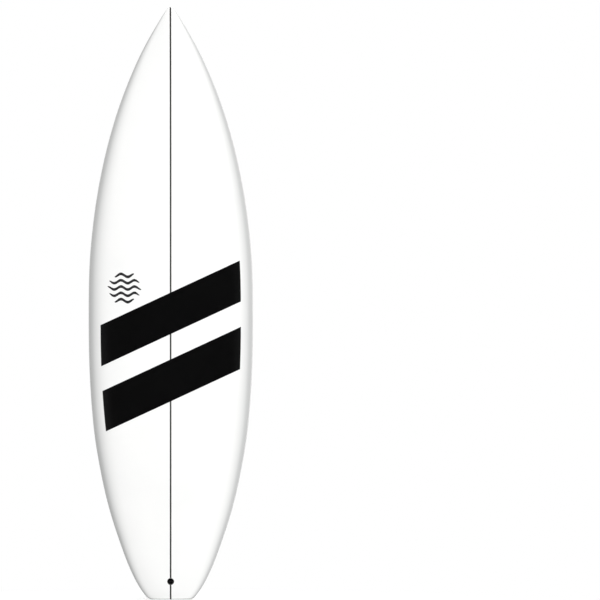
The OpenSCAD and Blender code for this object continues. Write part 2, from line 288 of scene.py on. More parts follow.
def surface_shading(ob):
    """Faces with index 0 lie on the board's surface and take its own normals; the rest are flat."""
    mesh = ob.data
    n_loops = len(mesh.loops)
    co = np.empty(len(mesh.vertices) * 3)
    mesh.vertices.foreach_get("co", co)
    co = co.reshape(-1, 3) / MM
    vert = np.empty(n_loops, np.int64)
    mesh.loops.foreach_get("vertex_index", vert)
    n_poly = len(mesh.polygons)
    index = np.empty(n_poly, np.int32)
    mesh.polygons.foreach_get("material_index", index)
    total = np.empty(n_poly, np.int64)
    mesh.polygons.foreach_get("loop_total", total)
    flat = np.empty(n_poly * 3)
    mesh.polygons.foreach_get("normal", flat)
    flat = flat.reshape(-1, 3)
    owner = np.repeat(np.arange(n_poly), total)
    made = flat[owner]
    on = index[owner] == 0
    exact = normals(co[vert[on]])
    made[on] = exact
    mesh.polygons.foreach_set("use_smooth", [True] * n_poly)
    mesh.normals_split_custom_set(made.tolist())
    mesh.polygons.foreach_set("material_index", np.zeros(n_poly, np.int32))
    # painted shade: a grey band inside each rail, darkest a few mm in, kept as a per-vertex attribute for the white
    # material
    inset = np.maximum(half_w(co[:, 2]) - np.abs(co[:, 0]), 0)
    narrow = 254 / np.maximum(half_w(co[:, 2]), 12)
    under = co[:, 1] < keel(co[:, 2]) + rail(co[:, 2])
    painted_shade = np.where(under, hermite(BOTTOM_PAINTED_SHADE, np.minimum(inset * np.sqrt(narrow), 60)),
        hermite(DECK_PAINTED_SHADE, np.minimum(inset * narrow, 80)))
    mesh.attributes.new("painted_shade", "FLOAT", "POINT").data.foreach_set("value", painted_shade.astype(np.float32))
    mesh.update()


def slab(grids, proud, deep):
    """Thin closed solids on the board's surface. Each grid is (points, normals) as n x m x 3 arrays in mm."""
    verts, faces, index, base = [], [], [], 0
    for p, nrm in grids:
        n, m = p.shape[:2]
        top, low = p + nrm * proud, p - nrm * deep
        a, b = top[0, 0], top[0, 1]
        c = top[1, 1]
        turn = float(np.dot(np.cross(b - a, c - b), nrm[0, 0])) < 0
        verts += [top.reshape(-1, 3), low.reshape(-1, 3)]
        k = n * m
        f = grid_faces(n, m, base, turn)
        faces += f
        index += [0] * len(f)
        f = grid_faces(n, m, base + k, not turn)
        faces += f
        index += [1] * len(f)
        ring = ([(0, j) for j in range(m)] + [(i, m - 1) for i in range(1, n)]
            + [(n - 1, j) for j in range(m - 2, -1, -1)] + [(i, 0) for i in range(n - 2, 0, -1)])
        ring = [base + i * m + j for i, j in ring]
        for a, b in zip(ring, ring[1:] + ring[:1]):
            q = [b, a, a + k, b + k]
            faces.append(q[::-1] if turn else q)
            index.append(1)
        base += 2 * k
    return np.concatenate(verts), faces, index


def slab_piece(name, grids, proud, deep, material):
    verts, faces, index = slab(grids, proud, deep)
    ob = add_object(name, make_mesh(name, verts, faces, index))
    mesh = ob.data
    n_poly = len(mesh.polygons)
    mesh.update()
    surface_shading(ob)
    ob.data.materials.append(material)
    return ob


# ---------------------------------------------------------------- materials
def new_material(name):
    mat = bpy.data.materials.new(name)
    mat.use_nodes = True
    nt = mat.node_tree
    return mat, nt, nt.nodes["Principled BSDF"]


def put(nt, kind, **values):
    node = nt.nodes.new(kind)
    for k, v in values.items():
        if k in node.inputs:
            node.inputs[k].default_value = v
        else:
            setattr(node, k, v)
    return node


def coordinates(nt, scale=(1, 1, 1), turn=(0, 0, 0)):
    tex = nt.nodes.new("ShaderNodeTexCoord")
    m = nt.nodes.new("ShaderNodeMapping")
    m.inputs["Scale"].default_value = scale
    m.inputs["Rotation"].default_value = turn
    nt.links.new(tex.outputs["Object"], m.inputs["Vector"])
    return m.outputs["Vector"]


def ramp(nt, source, stops):
    r = nt.nodes.new("ShaderNodeValToRGB")
    r.color_ramp.elements[0].position, r.color_ramp.elements[0].color = stops[0][0], (*stops[0][1], 1)
    r.color_ramp.elements[1].position, r.color_ramp.elements[1].color = stops[-1][0], (*stops[-1][1], 1)
    for pos, col in stops[1:-1]:
        e = r.color_ramp.elements.new(pos)
        e.color = (*col, 1)
    nt.links.new(source, r.inputs["Fac"])
    return r.outputs["Color"]


def map_range(nt, source, lo, hi, from_lo=0.0, from_hi=1.0):
    r = nt.nodes.new("ShaderNodeMapRange")
    r.inputs["From Min"].default_value, r.inputs["From Max"].default_value = from_lo, from_hi
    r.inputs["To Min"].default_value, r.inputs["To Max"].default_value = lo, hi
    nt.links.new(source, r.inputs["Value"])
    return r.outputs["Result"]


def noise(nt, vector, scale, detail=3.0, rough=0.5, distortion=0.0):
    n = put(nt, "ShaderNodeTexNoise", Scale=scale, Detail=detail, Roughness=rough, Distortion=distortion)
    nt.links.new(vector, n.inputs["Vector"])
    return n.outputs["Fac"]


def bump(nt, bsdf, height, strength, distance, chain=None):
    b = put(nt, "ShaderNodeBump", Strength=strength, Distance=distance)
    nt.links.new(height, b.inputs["Height"])
    if chain is not None:
        nt.links.new(chain, b.inputs["Normal"])
    if bsdf is not None:
        nt.links.new(b.outputs["Normal"], bsdf.inputs["Normal"])
    return b.outputs["Normal"]


def math_node(nt, op, a, b):
    m = put(nt, "ShaderNodeMath", operation=op)
    for i, v in enumerate((a, b)):
        if isinstance(v, (int, float)):
            m.inputs[i].default_value = v
        else:
            nt.links.new(v, m.inputs[i])
    return m.outputs[0]


def weave(nt, pitch, turn=(0, 0, 0)):
    """Height of a plain woven cloth with one thread every pitch metres, running along X and Z."""
    v = coordinates(nt, (1, 1, 1), turn)
    sep = nt.nodes.new("ShaderNodeSeparateXYZ")
    nt.links.new(v, sep.inputs[0])
    k = math.pi / pitch
    sx = math_node(nt, "SINE", math_node(nt, "MULTIPLY", sep.outputs["X"], k), 0)
    sz = math_node(nt, "SINE", math_node(nt, "MULTIPLY", sep.outputs["Z"], k), 0)
    prod = math_node(nt, "MULTIPLY", sx, sz)
    return map_range(nt, prod, 0, 1, -1, 1)


def gloss_coat(bsdf, weight=1.0, rough=0.04, ior=1.5):
    bsdf.inputs["Coat Weight"].default_value = weight
    bsdf.inputs["Coat Roughness"].default_value = rough
    bsdf.inputs["Coat IOR"].default_value = ior


def glassed_white():
    """White paint under clear resin, with painted shade: a soft grey band inside the rails, where they turn away from
    the light.
    """
    mat, nt, b = new_material("glassed_white")
    v = coordinates(nt)
    cloud = noise(nt, v, 4.5, 4, 0.55)
    white = ramp(nt, cloud, [(0.3, (0.905, 0.908, 0.9)), (0.7, (0.94, 0.94, 0.93))])
    # painted shade along the rails, read from the painted_shade attribute and multiplied into the white
    painted_shade = put(nt, "ShaderNodeAttribute", attribute_name="painted_shade")
    mix = put(nt, "ShaderNodeMix", data_type="RGBA")
    mix.blend_type = "MULTIPLY"
    mix.inputs["Factor"].default_value = 1.0
    nt.links.new(white, mix.inputs[6])
    nt.links.new(ramp(nt, painted_shade.outputs["Fac"], [(0.0, (0.0, 0.0, 0.0)), (0.5, (0.495, 0.5, 0.503)), (1.0, (1.0, 1.0, 1.0))]), mix.inputs[7])
    nt.links.new(mix.outputs[2], b.inputs["Base Color"])
    nt.links.new(map_range(nt, noise(nt, v, 18, 5, 0.6), 0.16, 0.3), b.inputs["Roughness"])
    cloth = bump(nt, None, weave(nt, 0.0011), 0.04, 0.00003)
    bump(nt, b, noise(nt, v, 5, 1, 0.4), 0.05, 0.0006, cloth)
    b.inputs["IOR"].default_value = 1.5
    gloss_coat(b, 1.0, 0.04)
    return mat


def resin_black():
    mat, nt, b = new_material("black_paint_under_resin")
    v = coordinates(nt)
    nt.links.new(ramp(nt, noise(nt, v, 26, 5, 0.6), [(0.3, (0.0007, 0.0007, 0.0008)), (0.75, (0.0014, 0.0014, 0.0015))]), b.inputs["Base Color"])
    nt.links.new(map_range(nt, noise(nt, v, 5, 2, 0.5), 0.3, 0.36), b.inputs["Roughness"])
    bump(nt, b, weave(nt, 0.0011), 0.04, 0.00003)
    b.inputs["Specular IOR Level"].default_value = 0.12
    gloss_coat(b, 0.7, 0.06)
    return mat


def badge_grey():
    mat, nt, b = new_material("badge_print")
    v = coordinates(nt)
    nt.links.new(ramp(nt, noise(nt, v, 60, 4, 0.6), [(0.3, (0.012, 0.012, 0.013)), (0.75, (0.02, 0.02, 0.021))]), b.inputs["Base Color"])
    nt.links.new(map_range(nt, noise(nt, v, 90, 3, 0.5), 0.3, 0.42), b.inputs["Roughness"])
    gloss_coat(b, 0.6, 0.05)
    return mat


def stringer_line():
    """Dark-stained wood grain seen through the resin."""
    mat, nt, b = new_material("stringer_under_resin")
    v = coordinates(nt, (900, 900, 14))
    grain = noise(nt, v, 1.0, 6, 0.65, 0.6)
    nt.links.new(ramp(nt, grain, [(0.3, (0.012, 0.0115, 0.011)), (0.5, (0.021, 0.02, 0.019)), (0.72, (0.034, 0.032, 0.03))]), b.inputs["Base Color"])
    nt.links.new(map_range(nt, grain, 0.24, 0.4), b.inputs["Roughness"])
    gloss_coat(b, 0.8, 0.04)
    return mat


def fin_composite(name, lo, hi, rough, shine):
    mat, nt, b = new_material(name)
    cloth = weave(nt, 0.0009, (0, math.radians(32), 0))
    v = coordinates(nt)
    cloud = noise(nt, v, 70, 4, 0.6)
    mixed = math_node(nt, "ADD", math_node(nt, "MULTIPLY", cloth, 0.45), math_node(nt, "MULTIPLY", cloud, 0.55))
    nt.links.new(ramp(nt, mixed, [(0.25, lo), (0.8, hi)]), b.inputs["Base Color"])
    nt.links.new(map_range(nt, cloud, rough, rough + 0.12), b.inputs["Roughness"])
    bump(nt, b, cloth, 0.15, 0.00005)
    b.inputs["Specular IOR Level"].default_value = shine
    return mat


def box_plastic_with_slot_shade(where):
    """White moulding, with painted shade inside the slot: the slot's faces are coloured near black."""
    mat, nt, b = new_material("fin_box_plastic_slot_shade_" + where)
    v = coordinates(nt)
    white = ramp(nt, noise(nt, v, 55, 4, 0.6), [(0.3, (0.8, 0.805, 0.8)), (0.75, (0.86, 0.86, 0.852))])
    # painted shade: near-black colour for the slot's recess
    dark = ramp(nt, noise(nt, v, 120, 4, 0.6), [(0.3, (0.006, 0.006, 0.0065)), (0.75, (0.012, 0.012, 0.013))])
    x0, z0 = BOXES[where]
    y0, p = box_seat(x0, z0)
    sep = nt.nodes.new("ShaderNodeSeparateXYZ")
    nt.links.new(v, sep.inputs[0])
    across = math_node(nt, "ABSOLUTE", math_node(nt, "SUBTRACT", sep.outputs["X"], x0 * MM), 0)
    along = math_node(nt, "SUBTRACT", math_node(nt, "MULTIPLY", sep.outputs["Z"], math.cos(p)),
        math_node(nt, "MULTIPLY", sep.outputs["Y"], math.sin(p)))
    along = math_node(nt, "ABSOLUTE", math_node(nt, "SUBTRACT", along, (z0 * math.cos(p) - y0 * math.sin(p)) * MM), 0)
    # mask of the slot's recess, where the shade is painted
    slot = math_node(nt, "MULTIPLY", math_node(nt, "LESS_THAN", across, 3.34 * MM), math_node(nt, "LESS_THAN", along, 45.04 * MM))
    mix = put(nt, "ShaderNodeMix", data_type="RGBA")
    nt.links.new(slot, mix.inputs["Factor"])
    nt.links.new(white, mix.inputs[6])
    nt.links.new(dark, mix.inputs[7])
    nt.links.new(mix.outputs[2], b.inputs["Base Color"])
    nt.links.new(map_range(nt, noise(nt, v, 300, 3, 0.6), 0.34, 0.48), b.inputs["Roughness"])
    bump(nt, b, noise(nt, v, 1800, 3, 0.6), 0.12, 0.00005)
    return mat


def cup_plastic():
    mat, nt, b = new_material("leash_cup_plastic")
    v = coordinates(nt)
    nt.links.new(ramp(nt, noise(nt, v, 120, 4, 0.6), [(0.3, (0.006, 0.006, 0.0065)), (0.75, (0.011, 0.011, 0.012))]), b.inputs["Base Color"])
    nt.links.new(map_range(nt, noise(nt, v, 420, 3, 0.6), 0.34, 0.5), b.inputs["Roughness"])
    bump(nt, b, noise(nt, v, 2200, 3, 0.6), 0.2, 0.00006)
    return mat


def steel(name, lo, hi):
    mat, nt, b = new_material(name)
    v = coordinates(nt, (60, 2600, 2600))
    streak = noise(nt, v, 1.0, 4, 0.6)
    nt.links.new(ramp(nt, streak, [(0.25, lo), (0.75, hi)]), b.inputs["Base Color"])
    nt.links.new(map_range(nt, streak, 0.2, 0.38), b.inputs["Roughness"])
    b.inputs["Metallic"].default_value = 1.0
    bump(nt, b, streak, 0.15, 0.00003)
    return mat


def foam_cells():
    mat, nt, b = new_material("blank_foam")
    v = coordinates(nt)
    cells = put(nt, "ShaderNodeTexVoronoi", Scale=1400.0)
    nt.links.new(v, cells.inputs["Vector"])
    nt.links.new(ramp(nt, noise(nt, v, 30, 5, 0.6), [(0.3, (0.78, 0.75, 0.66)), (0.75, (0.87, 0.85, 0.77))]), b.inputs["Base Color"])
    nt.links.new(map_range(nt, cells.outputs["Distance"], 0.75, 0.95), b.inputs["Roughness"])
    bump(nt, b, cells.outputs["Distance"], 0.5, 0.0003)
    return mat


def wood():
    mat, nt, b = new_material("stringer_wood")
    v = coordinates(nt, (700, 260, 9))
    grain = noise(nt, v, 1.0, 7, 0.65, 0.8)
    nt.links.new(ramp(nt, grain, [(0.28, (0.16, 0.1, 0.055)), (0.5, (0.33, 0.22, 0.13)), (0.75, (0.46, 0.33, 0.2))]), b.inputs["Base Color"])
    nt.links.new(map_range(nt, grain, 0.5, 0.7), b.inputs["Roughness"])
    bump(nt, b, grain, 0.25, 0.0002)
    return mat


SKIN_MAT, BLACK, BADGE, LINE = glassed_white(), resin_black(), badge_grey(), stringer_line()
FIN_GREY = fin_composite("fin_composite_grey", (0.021, 0.0218, 0.0218), (0.031, 0.032, 0.032), 0.5, 0.14)
FIN_BLACK = fin_composite("fin_composite_black", (0.0008, 0.0008, 0.0009), (0.0018, 0.0018, 0.002), 0.46, 0.05)
STEEL = steel("brushed_steel", (0.46, 0.465, 0.475), (0.66, 0.665, 0.675))
# painted shade: the leash bar's steel is coloured near black for the shade it sits in inside the cup
SHADED_BAR_STEEL = steel("steel_with_painted_shade", (0.018, 0.018, 0.019), (0.034, 0.034, 0.036))
CUP, FOAM, WOOD = cup_plastic(), foam_cells(), wood()

# ---------------------------------------------------------------- glass skins
PHI = np.radians(np.arange(0, 91, 10))
Z_ROWS = np.unique(np.round(np.concatenate([
    TAIL_R * (1 - np.cos(PHI)),
    np.arange(TAIL_R, 60, 4.5), np.arange(60, 300, 9), np.arange(300, 1500, 13), np.arange(1500, 1780, 7),
    np.arange(1780, LEN - NOSE_R, 2.6), LEN - NOSE_R * (1 - np.cos(PHI)),
]), 4))
Z_ROWS = Z_ROWS[np.concatenate([[True], np.diff(Z_ROWS) > 0.02])]
OFF = rounding(Z_ROWS)
N = len(Z_ROWS)


def inner_rows(gap):
    """Heights and draw-in of the skins' inner faces: they stop short of the tail end and of the solid nose tip."""
    z = np.where(Z_ROWS > 1810, 1810 + (Z_ROWS - 1810) * (8 - gap) / 19, np.maximum(Z_ROWS, SKIN + gap))
    off = np.where(Z_ROWS > 1810, 0.0, OFF) + SKIN
    return z, off


def seam(z, off):
    w = half_w(z) - off
    return np.maximum(0.94 * w - 1.2, 0.35 * w)


def deck_sheet(z, off, x0):
    w = half_w(z) - off
    e = edge(z)
    a0 = np.arccos(np.clip((x0 / w) ** (e / 2), 0, 1))
    cols = []
    for t in np.linspace(0, 1, 15):
        a = a0 * (1 - t)
        x = w * np.cos(a) ** (2 / e)
        cols.append(np.stack([x, keel(z) + off + (rail(z) - off) * (1 - np.sin(a)) + channel(z, x), z], 1))
    for a in np.radians(np.arange(2.5, 90.1, 2.5)):
        c = max(0.0, math.cos(a)) if a < math.radians(89.9) else 0.0
        x = w * c ** (2 / 2.3)
        cols.append(np.stack([x, keel(z) + rail(z) + (thick(z) - rail(z) - off) * math.sin(a) ** (2 / 1.7), z], 1))
    half = np.stack(cols, 1)
    other = half[:, -2::-1] * np.array([-1, 1, 1])
    return np.concatenate([half, other], 1)


BASE_T = np.linspace(-1, 1, 61)
BASE_T = np.sign(BASE_T) * (1 - (1 - np.abs(BASE_T)) ** 1.5)


def bottom_sheet(z, off, x0):
    x = x0[:, None] * BASE_T[None, :]
    zz, oo = np.broadcast_to(z[:, None], x.shape), np.broadcast_to(off[:, None], x.shape)
    return np.stack([x, y_bottom(zz, x, oo), zz], 2)


def build_deck_skin():
    x0 = seam(Z_ROWS, OFF)
    outer = deck_sheet(Z_ROWS, OFF, x0)
    zi, oi = inner_rows(0.0)
    xi = np.where(Z_ROWS > 1810, seam(zi, 0 * zi), x0)
    inner = deck_sheet(zi, oi, xi)
    m = outer.shape[1]
    k = N * m
    verts = [outer.reshape(-1, 3), inner.reshape(-1, 3)]
    faces = grid_faces(N, m, 0)
    index = [0] * len(faces)
    walls = grid_faces(N, m, k, True)
    for i in range(N - 1):
        a, b = i * m, (i + 1) * m
        walls.append([a, b, k + b, k + a])
        a, b = i * m + m - 1, (i + 1) * m + m - 1
        walls.append([a, k + a, k + b, b])
    base = 2 * k
    for row, flip in ((0, False), (N - 1, True)):
        pair = []
        for z, off, x, first in ((Z_ROWS, OFF, x0, 0), (zi, oi, xi, k)):
            pts = bottom_sheet(z[row:row + 1], off[row:row + 1], x[row:row + 1])[0]
            verts.append(pts[1:-1])
            n = len(pts) - 2
            pair.append([first + row * m + m - 1] + list(range(base, base + n)) + [first + row * m])
            base += n
        (out_row, in_row) = pair
        ring_out = list(range(row * m, row * m + m)) + out_row[1:-1]
        ring_in = list(range(k + row * m, k + row * m + m)) + in_row[1:-1]
        walls.append(ring_out if flip else ring_out[::-1])
        walls.append(ring_in[::-1] if flip else ring_in)
        for a, b, c, d in zip(out_row, out_row[1:], in_row[1:], in_row):
            walls.append([d, c, b, a] if flip else [a, b, c, d])
    faces += walls
    index += [1] * len(walls)
    return add_object("deck_skin", make_mesh("deck_skin", np.concatenate(verts), faces, index))


def build_bottom_skin():
    x0 = seam(Z_ROWS, OFF)
    outer = bottom_sheet(Z_ROWS, OFF, x0)
    zi, oi = inner_rows(0.05)
    xi = np.where(Z_ROWS > 1810, seam(zi, 0 * zi), x0) - 0.15
    inner = bottom_sheet(zi, oi, xi) - np.array([0, 0.02, 0])
    m = outer.shape[1]
    k = N * m
    faces = grid_faces(N, m, 0)
    index = [0] * len(faces)
    walls = grid_faces(N, m, k, True)
    for i in range(N - 1):
        a, b = i * m, (i + 1) * m
        walls.append([a, b, k + b, k + a])
        a, b = i * m + m - 1, (i + 1) * m + m - 1
        walls.append([a, k + a, k + b, b])
    for j in range(m - 1):
        walls.append([j, k + j, k + j + 1, j + 1])
        a = (N - 1) * m + j
        walls.append([a, a + 1, k + a + 1, k + a])
    faces += walls
    index += [1] * len(walls)
    return add_object("bottom_skin", make_mesh("bottom_skin",
        np.concatenate([outer.reshape(-1, 3), inner.reshape(-1, 3)]), faces, index))


def prism(name, ring_a, ring_b):
    """Closed solid between two rings of points, indexed as a wall."""
    n = len(ring_a)
    faces = [[i, (i + 1) % n, n + (i + 1) % n, n + i] for i in range(n)] + [list(range(n - 1, -1, -1)), list(range(n, 2 * n))]
    ob = add_object(name, make_mesh(name, np.concatenate([ring_a, ring_b]), faces, [1] * len(faces)))
    bm = bmesh.new()
    bm.from_mesh(ob.data)
    bmesh.ops.recalc_face_normals(bm, faces=bm.faces)
    bm.to_mesh(ob.data)
    bm.free()
    return ob


def box_cutter(where):
    x, z = BOXES[where]
    r, ring = 10.06, []
    for k in range(25):
        a = math.pi * k / 24
        ring.append([r * math.cos(a), 56 + r * math.sin(a)])
    for k in range(25):
        a = math.pi + math.pi * k / 24
        ring.append([r * math.cos(a), -42 + r * math.sin(a)])
    ring = np.array(ring)
    low = np.stack([ring[:, 0], np.full(len(ring), -6.0), ring[:, 1]], 1)
    high = np.stack([ring[:, 0], np.full(len(ring), 9.0), ring[:, 1]], 1)
    return prism("cutter_" + where, on_bottom(x, z, low), on_bottom(x, z, high))


def ring_xy(r, z, n=64):
    a = 2 * math.pi * np.arange(n) / n
    return np.stack([r * np.cos(a), r * np.sin(a), np.full(n, z)], 1)


deck_skin = build_deck_skin()
cut(deck_skin, prism("cup_cutter", at_cup(ring_xy(10.62, -6)), at_cup(ring_xy(10.62, 6))))
surface_shading(deck_skin)
bottom_skin = build_bottom_skin()
cut(bottom_skin, *[box_cutter(w) for w in BOXES])
surface_shading(bottom_skin)
for ob, node in ((deck_skin, "deck_laminate"), (bottom_skin, "bottom_laminate")):
    ob.data.materials.clear()
    ob.data.materials.append(SKIN_MAT)
    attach(ob, "board")
    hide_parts(node)

# ---------------------------------------------------------------- painted stripes, badges and the stringer's line
SLOPE = 0.464
STRIPES = ((819.5, 948.0), (611.5, 741.5))
INSET = 37.0


def stripe_grid(face, z_low, z_high, n_v=33, n_u=121):
    lean = -SLOPE if face == "deck" else SLOPE
    rows = []
    for v in np.linspace(0, 1, n_v):
        z0 = z_low + v * (z_high - z_low)
        ends = []
        for side in (-1, 1):
            x = side * 215.0
            for _ in range(40):
                x = side * (float(half_w(z0 + lean * x)) - INSET)
            ends.append(x)
        t = np.linspace(-1, 1, n_u)
        g = np.sign(t) * (1 - (1 - np.abs(t)) ** 1.35)
        x = np.where(g < 0, -g * ends[0], g * ends[1])
        rows.append(np.stack([x, np.zeros(n_u), z0 + lean * x], 1))
    return on_surface(np.array(rows), face)


def on_surface(p, face):
    y = (y_deck if face == "deck" else y_bottom)(p[..., 2], p[..., 0])
    p = np.stack([p[..., 0], y, p[..., 2]], -1)
    return p, normals(p.reshape(-1, 3), face).reshape(p.shape)


def badge_grids(face):
    """Five wave lines that fill a round outline."""
    r, x_mid, z_mid = 52.5, (143.0 if face == "deck" else -143.0), 962.0
    grids = []
    for k in range(-2, 3):
        d = k * 19.5
        reach = math.sqrt(r * r - (abs(d) + 4) ** 2)
        s = np.linspace(-1, 1, 97)
        x = s * reach
        mid = d + 4.6 * np.sin(2 * math.pi * x / 42.0)
        wide = 4.3 * (1 - np.abs(s) ** 5) ** 0.6 + 0.12
        p = np.array([np.stack([x_mid + x, 0 * x, z_mid + mid + w * wide], 1) for w in np.linspace(-1, 1, 7)])
        grids.append(on_surface(p, face))
    return grids


def line_grid(path):
    """A strip 4.8 mm wide along the middle of the board. Each step is (face, z) or ("end", share) across the tail end."""
    pts, nrm = [], []
    for face, v in path:
        if face == "end":
            lo, hi = float(y_bottom(0.0, 0.0)), float(y_deck(0.0, 0.0))
            y = hi + (lo - hi) * v
            pts.append([[x, y, 0.0] for x in (-2.4, 0.0, 2.4)])
            nrm.append([[0, 0, -1.0]] * 3)
            continue
        w = min(2.4, 0.42 * float(half_w(v) - rounding(v)))
        row = np.array([[x, 0.0, v] for x in (-w, 0.0, w)])
        p, n = on_surface(row[None], face)
        pts.append(p[0])
        nrm.append(n[0])
    return np.array(pts, float), np.array(nrm, float)


def steps(face, a, b):
    """Heights between a and b, close together where the board turns over its ends."""
    lo, hi = min(a, b), max(a, b)
    z = Z_ROWS[(Z_ROWS > lo + 0.5) & (Z_ROWS < hi - 0.5)]
    if lo < TAIL_R or hi > LEN - NOSE_R:
        z = Z_ROWS[(Z_ROWS > lo) & (Z_ROWS < hi)]
    z = np.concatenate([[lo], z, [hi]])
    return [(face, float(v)) for v in (z if a < b else z[::-1])]


UNDER = 4.0
line_paths = [
    steps("deck", CUP_Z - 10.9, 0.0) + [("end", s) for s in (0.25, 0.5, 0.75)] + steps("bottom", 0.0, CENTRE_Z - 52.6),
    steps("deck", CUP_Z + 10.9, STRIPES[1][0] + UNDER),
    steps("deck", STRIPES[1][1] - UNDER, STRIPES[0][0] + UNDER),
    steps("deck", STRIPES[0][1] - UNDER, LEN) + steps("bottom", LEN, STRIPES[0][1] - UNDER),
    steps("bottom", STRIPES[1][1] - UNDER, STRIPES[0][0] + UNDER),
    steps("bottom", CENTRE_Z + 66.6, STRIPES[1][0] + UNDER),
]
painted = [
    slab_piece("deck_stripes", [stripe_grid("deck", a, b) for a, b in STRIPES], 0.22, 0.42, BLACK),
    slab_piece("bottom_stripes", [stripe_grid("bottom", a, b) for a, b in STRIPES], 0.22, 0.42, BLACK),
    slab_piece("deck_badge", badge_grids("deck"), 0.15, 0.4, BADGE),
    slab_piece("bottom_badge", badge_grids("bottom"), 0.15, 0.4, BADGE),
    slab_piece("stringer_line", [line_grid(p) for p in line_paths], 0.1, 0.3, LINE),
]
for ob in painted:
    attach(ob, "board")

# ---------------------------------------------------------------- fins
BLADE = [[0, 0, 0, 0, 89.4], [0.1, 16, 4.8, 10, 87.2], [0.2, 33, 11.6, 21, 85], [0.3, 49, 19.8, 32, 83.2],
    [0.4, 64, 28.6, 43, 82.4], [0.5, 78, 38.2, 54, 83.6], [0.6, 91, 48.4, 64.5, 87.6], [0.7, 102.6, 60, 74.5, 94],
    [0.8, 112.4, 73, 84, 102.4], [0.87, 118.6, 85.4, 91, 110.4], [0.93, 122.8, 98.6, 97, 118.4],
    [0.97, 124.6, 112, 102, 126.6], [0.985, 124.4, 120.4, 105.2, 132], [0.994, 122.6, 128.6, 108, 136.6],
    [0.998, 119.8, 134.6, 110.8, 139.4], [1, 116.6, 138.4, 113.8, 140.2]]
# share of the chord that the black leading band covers, from base to tip
BAND = [[0, 0.385], [0.25, 0.43], [0.5, 0.48], [0.75, 0.52], [0.83, 0.5], [0.9, 0.42], [0.95, 0.3], [0.975, 0.16], [0.99, 0.06], [1, 0.04]]
FIN_T, CANT = 6.4, math.radians(5)


def naca(s):
    return 10 * (0.2969 * np.sqrt(s) - 0.126 * s - 0.3516 * s**2 + 0.2843 * s**3 - 0.1036 * s**4)


def blade_mesh():
    """Half-width points of the blade and the band each face belongs to, in the box's own frame."""
    n_front, n_back = 12, 16
    us = np.unique(np.concatenate([np.linspace(0, 0.86, 34), 0.86 + 0.14 * np.sin(np.linspace(0, math.pi / 2, 26))]))
    rings = []
    for u in us:
        col = [float(hermite([[b[0], b[i]] for b in BLADE], u)) for i in range(1, 5)]
        band = float(hermite(BAND, u))
        s = np.concatenate([band * (np.arange(n_front + 1) / n_front) ** 2, band + (1 - band) * np.arange(1, n_back + 1) / n_back])
        t = FIN_T * (1 - 0.72 * u**1.3) * (1 - 0.45 * (max(0.0, u - 0.9) * 10) ** 2)
        t *= math.sqrt(max(0.02, 1 - (max(0.0, u - 0.975) / 0.0255) ** 2))
        out_x = (0.84 * naca(s) + 0.045 * s) * t
        inner = 0.16 * np.sqrt(1 - (1 - np.minimum(s, 0.08) / 0.08) ** 2)
        inner = inner * (1 - 0.72 * np.clip((s - 0.55) / 0.45, 0, 1) ** 1.5)
        in_x = -inner * t
        d, a = col[0] + (col[2] - col[0]) * s, col[1] + (col[3] - col[1]) * s
        out = d - (1.2 if u == 0 else 0)
        front = np.stack([out_x - 0.34 * FIN_T + out * math.tan(CANT), -0.4 - out, 44.7 - a], 1)
        back = np.stack([in_x - 0.34 * FIN_T + out * math.tan(CANT), -0.4 - out, 44.7 - a], 1)
        rings.append(np.concatenate([front, back[:0:-1]]))
    rings = np.array(rings)
    n, m = rings.shape[:2]
    faces, index = [], []
    band_cols = set(range(n_front)) | set(range(m - n_front, m))
    for i in range(n - 1):
        for j in range(m):
            b = (j + 1) % m
            faces.append([i * m + j, i * m + b, (i + 1) * m + b, (i + 1) * m + j])
            index.append(1 if j in band_cols else 0)
    faces += [list(range(m - 1, -1, -1)), list(range((n - 1) * m, n * m))]
    index += [0, 0]
    return rings.reshape(-1, 3), faces, index


BLADE_VERTS, BLADE_FACES, BLADE_INDEX = blade_mesh()


def sharp_by_angle(mesh, degrees):
    bm = bmesh.new()
    bm.from_mesh(mesh)
    bmesh.ops.remove_doubles(bm, verts=bm.verts, dist=1e-7)
    bmesh.ops.dissolve_degenerate(bm, edges=bm.edges, dist=1e-7)
    bmesh.ops.recalc_face_normals(bm, faces=bm.faces)
    for e in bm.edges:
        e.smooth = len(e.link_faces) == 2 and e.calc_face_angle(0) < math.radians(degrees)
    for f in bm.faces:
        f.smooth = True
    bm.to_mesh(mesh)
    bm.free()


def tab_mesh():
    """The fin's tab: a block with broken edges."""
    bm = bmesh.new()
    w, lo, hi, end = 3.2, -0.4, 12.6, 44.8
    outline = [(lo, -end), (hi, -end), (hi, end - 0.0), (lo, end)]
    ring = [[bm.verts.new((x, y, z)) for y, z in outline] for x in (-w, w)]
    bm.faces.new(ring[0][::-1])
    bm.faces.new(ring[1])
    for i in range(4):
        j = (i + 1) % 4
        bm.faces.new([ring[0][i], ring[0][j], ring[1][j], ring[1][i]])
    bmesh.ops.recalc_face_normals(bm, faces=bm.faces)
    bmesh.ops.bevel(bm, geom=list(bm.edges), offset=0.45, segments=2, profile=0.5, affect="EDGES")
    verts = np.array([v.co[:] for v in bm.verts])
    faces = [[v.index for v in f.verts] for f in bm.faces]
    bm.free()
    return verts, faces


